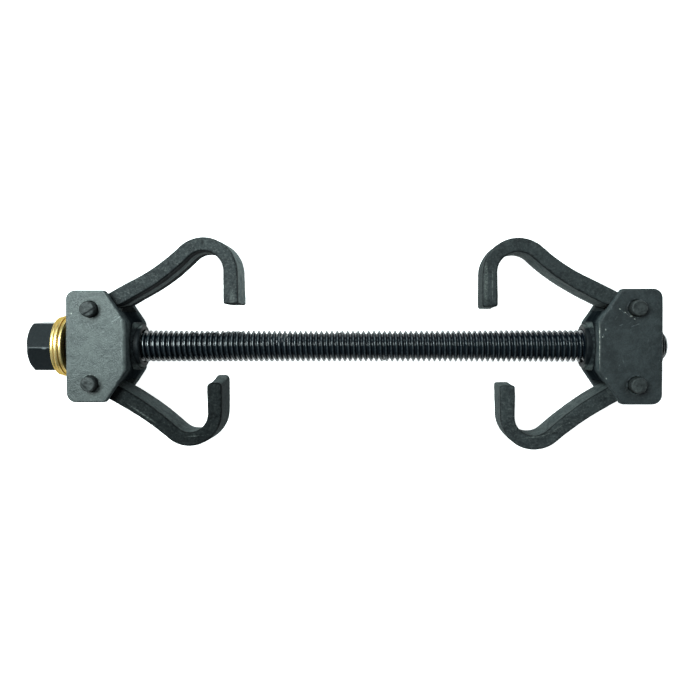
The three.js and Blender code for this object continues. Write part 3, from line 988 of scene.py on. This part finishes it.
def half_bar(share):
    """Half the bar's thickness along it: thinner at the arch, thicker again at the tip."""
    thin = BAR_AT_EYE + (BAR_AT_ARCH - BAR_AT_EYE) * smoothstep(share, 0.1, 0.6)
    return (thin + (BAR_AT_TIP - thin) * smoothstep(share, 0.75, 1)) / 2


def hook_flat(line):
    """Distance to the hook's outline in its own plane, and the share of its length."""
    tip_x, tip_y, heading, _ = line[-1]
    ahead = np.array([math.cos(heading), math.sin(heading)])
    longer = np.vstack([line, [tip_x + 8 * ahead[0], tip_y + 8 * ahead[1], heading, 1.0]])

    def flat(u, v, drawn_out=0.0, corner=1.3):
        best = np.inf
        at = 0
        for (ax, ay, _, sa), (bx, by, _, sb) in zip(longer, longer[1:]):
            ex, ey = bx - ax, by - ay
            t = np.clip(((u - ax) * ex + (v - ay) * ey) / (ex * ex + ey * ey), 0, 1)
            share = sa + t * (sb - sa)
            gap = np.hypot(u - ax - t * ex, v - ay - t * ey) - half_bar(share)
            at = np.where(gap < best, share, at)
            best = np.minimum(best, gap)
        end = (u - tip_x) * ahead[0] + (v - tip_y) * ahead[1] - drawn_out
        bar = both(best, end, corner)
        return joined(bar, np.hypot(u, v) - EYE_RADIUS, 0.6), at
    return flat


def make_hooks():
    for seed, (name, kind) in enumerate(HOOKS):
        hook = f"{name}_{kind}"
        pin = middle(f"{hook}_pin")
        low, high = box_mm(f"{hook}_hook")
        half = (high[2] - low[2]) / 2
        flat = hook_flat(hook_line(HOOK_SHAPES[kind], REST_TURNS[hook]))
        slant, corner = TIP_ENDS[hook]

        def from_pin(x, y):
            return (x - pin[0]) * FACING[name], (y - pin[1]) * SIDE[kind]

        def distance(x, y, z):
            u, v = from_pin(x, y)
            lower = np.clip((half - z) / (2 * half), 0, 1) ** 2
            outline, _ = flat(u, v, slant * lower, corner)
            solid = both(outline, np.abs(z) - half, HOOK_EDGE)
            return both(solid, PIN_HOLE - np.hypot(u, v), 0.3)

        def relief(points, out):
            u, v = from_pin(points[:, 0], points[:, 1])
            _, share = flat(u, v)
            clear = smoothstep(np.hypot(u, v), 8.5, 12)
            waves = 0.10 * noise(points, 9, 60 + seed) + 0.07 * noise(points, 3.4, 70 + seed)
            scale = 0.045 * noise(points, 1.3, 80 + seed)
            sideways = 1 - np.abs(out[:, 2])
            seam = 0.16 * np.exp(-(points[:, 2] / 0.55) ** 2)
            seam = seam * (0.7 + 0.5 * noise(points, 5, 90 + seed))
            fade = 1 - smoothstep(share, 0.55, 0.8)
            return clear * (waves + scale + seam * sideways * fade) - 0.1 * clear

        make_solid(
            f"{hook}_hook_forged", distance, low, high, 0.5, FORGED[hook], hook, relief,
            node=f"{hook}_hook", slot="forged_black",
        )


# Pins and spacers -----------------------------------------------------------------------------

PIN_RIM = 0.8
# Chisel step on each pin's end: degrees to the side that is cut down, distance from the middle
CHISEL = {
    "head_long": (-58, 1.5), "head_short": (222, 1.9), "far_long": (60, 2.4),
    "far_short": (200, 2.6),
}


def make_pins():
    for seed, (name, kind) in enumerate(HOOKS):
        node = f"{name}_{kind}_pin"
        centre, radius, half = upright(node)
        degrees, out_to = CHISEL[f"{name}_{kind}"]
        way = (math.cos(math.radians(degrees)), math.sin(math.radians(degrees)))

        def distance(x, y, z):
            u, v = x - centre[0], y - centre[1]
            past = u * way[0] + v * way[1] - out_to
            step = 0.22 * smoothstep(past, 0, 0.35) + 0.1 * np.maximum(past, 0)
            groove = 0.08 * np.exp(-(past / 0.25) ** 2)
            ends = np.maximum(z - (half - 0.12) + step + groove, -z - (half - 0.12))
            return both(np.hypot(u, v) - radius, ends, PIN_RIM)

        def relief(points, out):
            exposed = smoothstep(np.abs(points[:, 2]), half - 5, half - 4)
            return exposed * (
                0.09 * noise(points, 1.9, 100 + seed) + 0.05 * noise(points, 0.8, 110 + seed)
            )

        make_solid(
            f"{node}_peened", distance, *box_mm(node), 0.26, PIN_STEEL, name, relief, node=node,
            slot="pin_dark",
        )


def make_spacers():
    for name, kind in HOOKS:
        for where in ("front", "back"):
            node = f"{name}_{kind}_spacer_{where}"
            centre, radius, half = upright(node)

            def distance(x, y, z):
                away = np.hypot(x - centre[0], y - centre[1])
                ring = both(away - radius, PIN_HOLE - away, 0.2)
                return both(ring, np.abs(z - centre[2]) - half, 0.45)

            make_solid(
                f"{node}_turned", distance, *box_mm(node), 0.32, PIN_STEEL, name,
                lambda points, out: 0.02 * noise(points, 1.2, 120), node=node, slot="pin_dark",
            )


make_spindle()
make_turned_pieces()
make_yokes()
make_welds()
make_hooks()
make_pins()
make_spacers()


# Floor, light and camera --------------------------------------------------------------------

def make_floor():
    mesh = bpy.data.meshes.new("floor")
    reach = 3.0
    corners = [(-reach, -reach, 0), (reach, -reach, 0), (reach, reach, 0), (-reach, reach, 0)]
    mesh.from_pydata(corners, [], [(0, 1, 2, 3)])
    floor = bpy.data.objects.new("floor", mesh)
    bpy.context.collection.objects.link(floor)
    material = bpy.data.materials.new("floor_pale")
    material.use_nodes = True
    shader = material.node_tree.nodes["Principled BSDF"]
    shader.inputs["Base Color"].default_value = (0.62, 0.62, 0.62, 1)
    shader.inputs["Roughness"].default_value = 0.9
    shader.inputs["Specular IOR Level"].default_value = 0.1
    shader.inputs["Emission Color"].default_value = (0.97, 1, 1, 1)
    shader.inputs["Emission Strength"].default_value = 0.97
    mesh.materials.append(material)


def make_light(name, place, size, power, color=(1, 1, 1), target=(0, 0, 0)):
    data = bpy.data.lights.new(name, "AREA")
    data.shape = "RECTANGLE"
    data.size, data.size_y = size
    data.energy = power
    data.color = color
    light = bpy.data.objects.new(name, data)
    bpy.context.collection.objects.link(light)
    light.location = place
    to = np.array(target) - np.array(place)
    light.rotation_euler = (
        math.atan2(math.hypot(to[0], to[1]), -to[2]), 0, math.atan2(to[1], to[0]) - math.pi / 2
    )


def make_lights():
    make_light("key_softbox", (-0.50, 0.32, 1.0), (0.55, 0.42), 30.0, (0.87, 1.0, 0.99))
    make_light("upper_fill", (0.05, 0.9, 0.6), (1.0, 0.4), 5.5, (0.80, 0.97, 1.0))
    make_light("right_fill", (0.9, -0.1, 0.8), (0.5, 0.6), 2.0, (0.85, 0.98, 1.0))
    world = bpy.data.worlds.new("studio")
    world.use_nodes = True
    world.node_tree.nodes["Background"].inputs["Color"].default_value = (0.88, 0.97, 1.0, 1)
    world.node_tree.nodes["Background"].inputs["Strength"].default_value = 0.25
    bpy.context.scene.world = world


def make_camera():
    data = bpy.data.cameras.new("camera")
    data.lens = 39.98
    data.sensor_width = 36
    data.clip_start = 0.01
    camera = bpy.data.objects.new("camera", data)
    bpy.context.collection.objects.link(camera)
    camera.location = (0.0236, 0.0067, 0.4695)
    camera.rotation_euler = tuple(math.radians(angle) for angle in (-1.398, 2.624, -0.044))
    bpy.context.scene.camera = camera
    bpy.context.scene.view_settings.view_transform = "Standard"


make_floor()
make_lights()
make_camera()
